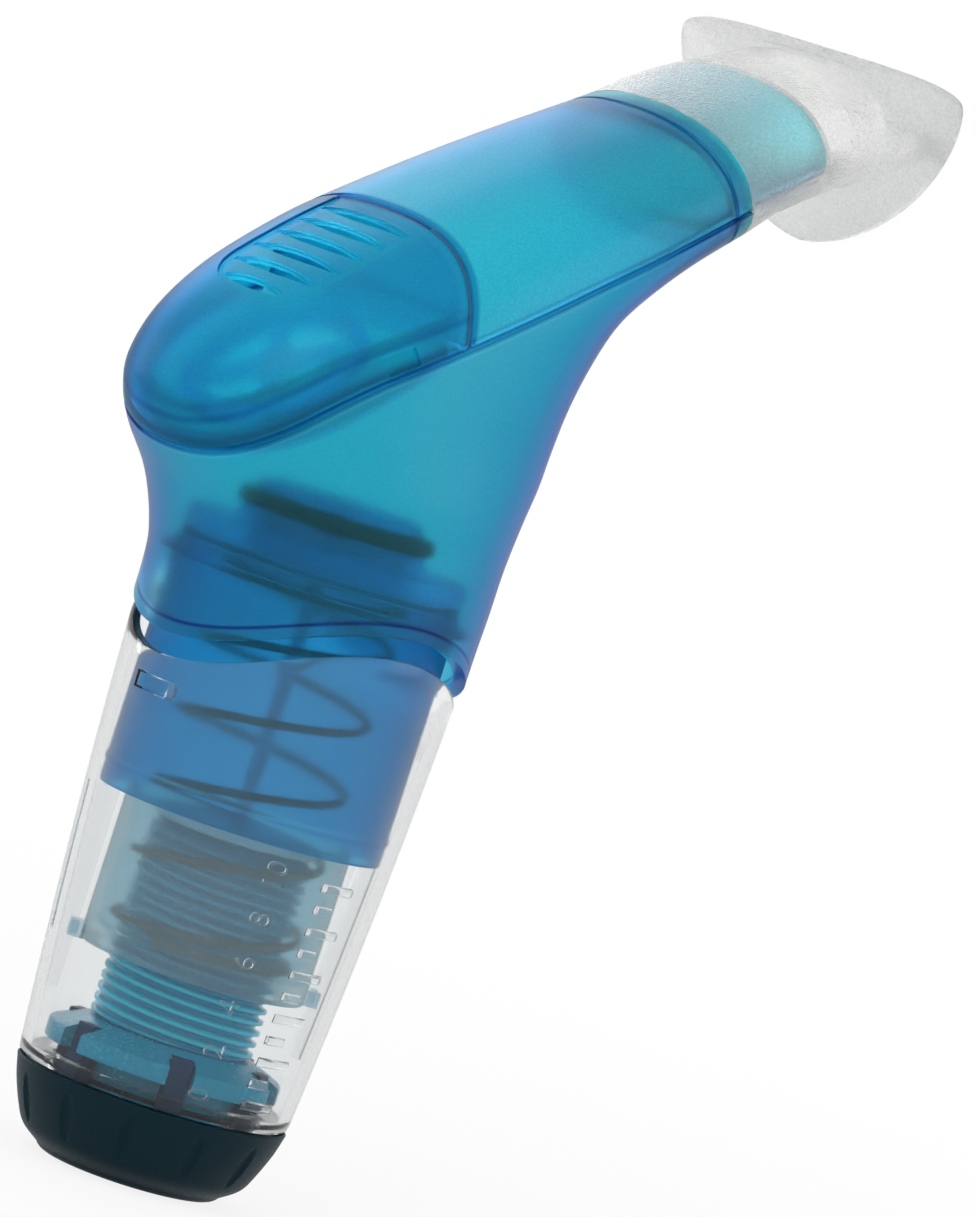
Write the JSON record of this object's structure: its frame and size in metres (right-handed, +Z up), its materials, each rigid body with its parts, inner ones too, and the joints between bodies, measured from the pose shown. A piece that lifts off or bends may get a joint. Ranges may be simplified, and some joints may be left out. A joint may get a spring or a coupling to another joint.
{
  "type": "inspiratory muscle trainer",
  "caption": "Hand-held breathing trainer: angled handle with mouthpiece and exhale valve above a clear scale tube, with a spring-loaded inhale valve set by a knob at the foot.",
  "frame": {"origin": "centre of the knob's flat underside, on the scale tube's axis", "axes": "+Z up the scale tube's axis, +X towards the mouthpiece, +Y to the left of a user who faces -X"},
  "size_m": [0.1139, 0.0644, 0.1914],
  "materials": {
    "blue_shell": "translucent blue, fine frosted texture",
    "blue_cover": "translucent blue, fine frosted texture",
    "blue_cap": "translucent deep blue",
    "cyan_post": "bright cyan, glossy",
    "blue_valve_parts": "opaque blue",
    "clear_tube": "clear, polished",
    "grey_carrier": "translucent grey",
    "black_rubber": "matt",
    "spring_steel": "drawn wire",
    "dark_teal": "fine matt",
    "white_acetal": "plain",
    "frosted_silicone": "frosted, translucent"
  },
  "bodies": {
    "handle": {"handle_body": "blue_shell", "top_cover": "blue_cover", "vent_cap": "blue_cap", "exhale_seat": "blue_valve_parts", "mouthpiece": "frosted_silicone", "scale_tube": "clear_tube", "valve_seat": "blue_valve_parts", "seat_gasket": "black_rubber", "spring_guide": "white_acetal", "spring": "spring_steel"},
    "knob": {"knob": "dark_teal"},
    "inhale_valve": {"poppet": "blue_valve_parts", "poppet_seal": "black_rubber", "valve_stem": "spring_steel", "stem_clip": "spring_steel"},
    "load_screw": {"load_post": "cyan_post", "post_cap": "white_acetal"},
    "carrier": {"spring_carrier": "grey_carrier"},
    "exhale_valve": {"exhale_flap": "frosted_silicone", "exhale_button": "frosted_silicone"}
  },
  "joints": [
    {"name": "knob_turn", "type": "hinge", "parent": "handle", "child": "knob", "pos_m": [0, 0, 0], "axis": [0, 0, 1], "range_deg": [-1080, 1800]},
    {"name": "inhale_lift", "type": "slide", "parent": "handle", "child": "inhale_valve", "axis": [0, 0, 1], "range_m": [0, 0.004], "stiffness_N_per_m": 150, "springref_m": -0.012},
    {"name": "post_turn", "type": "hinge", "parent": "inhale_valve", "child": "load_screw", "pos_m": [0, 0, 0.0166], "axis": [0, 0, 1], "range_deg": [-1080, 1800]},
    {"name": "carrier_travel", "type": "slide", "parent": "inhale_valve", "child": "carrier", "axis": [0, 0, 1], "range_m": [-0.0103, 0.0171], "deforming": ["spring"]},
    {"name": "exhale_lift", "type": "slide", "parent": "handle", "child": "exhale_valve", "axis": [-0.6756, 0, 0.7373], "range_m": [0, 0.002], "stiffness_N_per_m": 20, "springref_m": -0.002}
  ],
  "couplings": [
    {"joint": "post_turn", "follows": "knob_turn", "ratio": 1},
    {"joint": "carrier_travel", "follows": "knob_turn", "m_per_rad": 0.00054113}
  ]
}
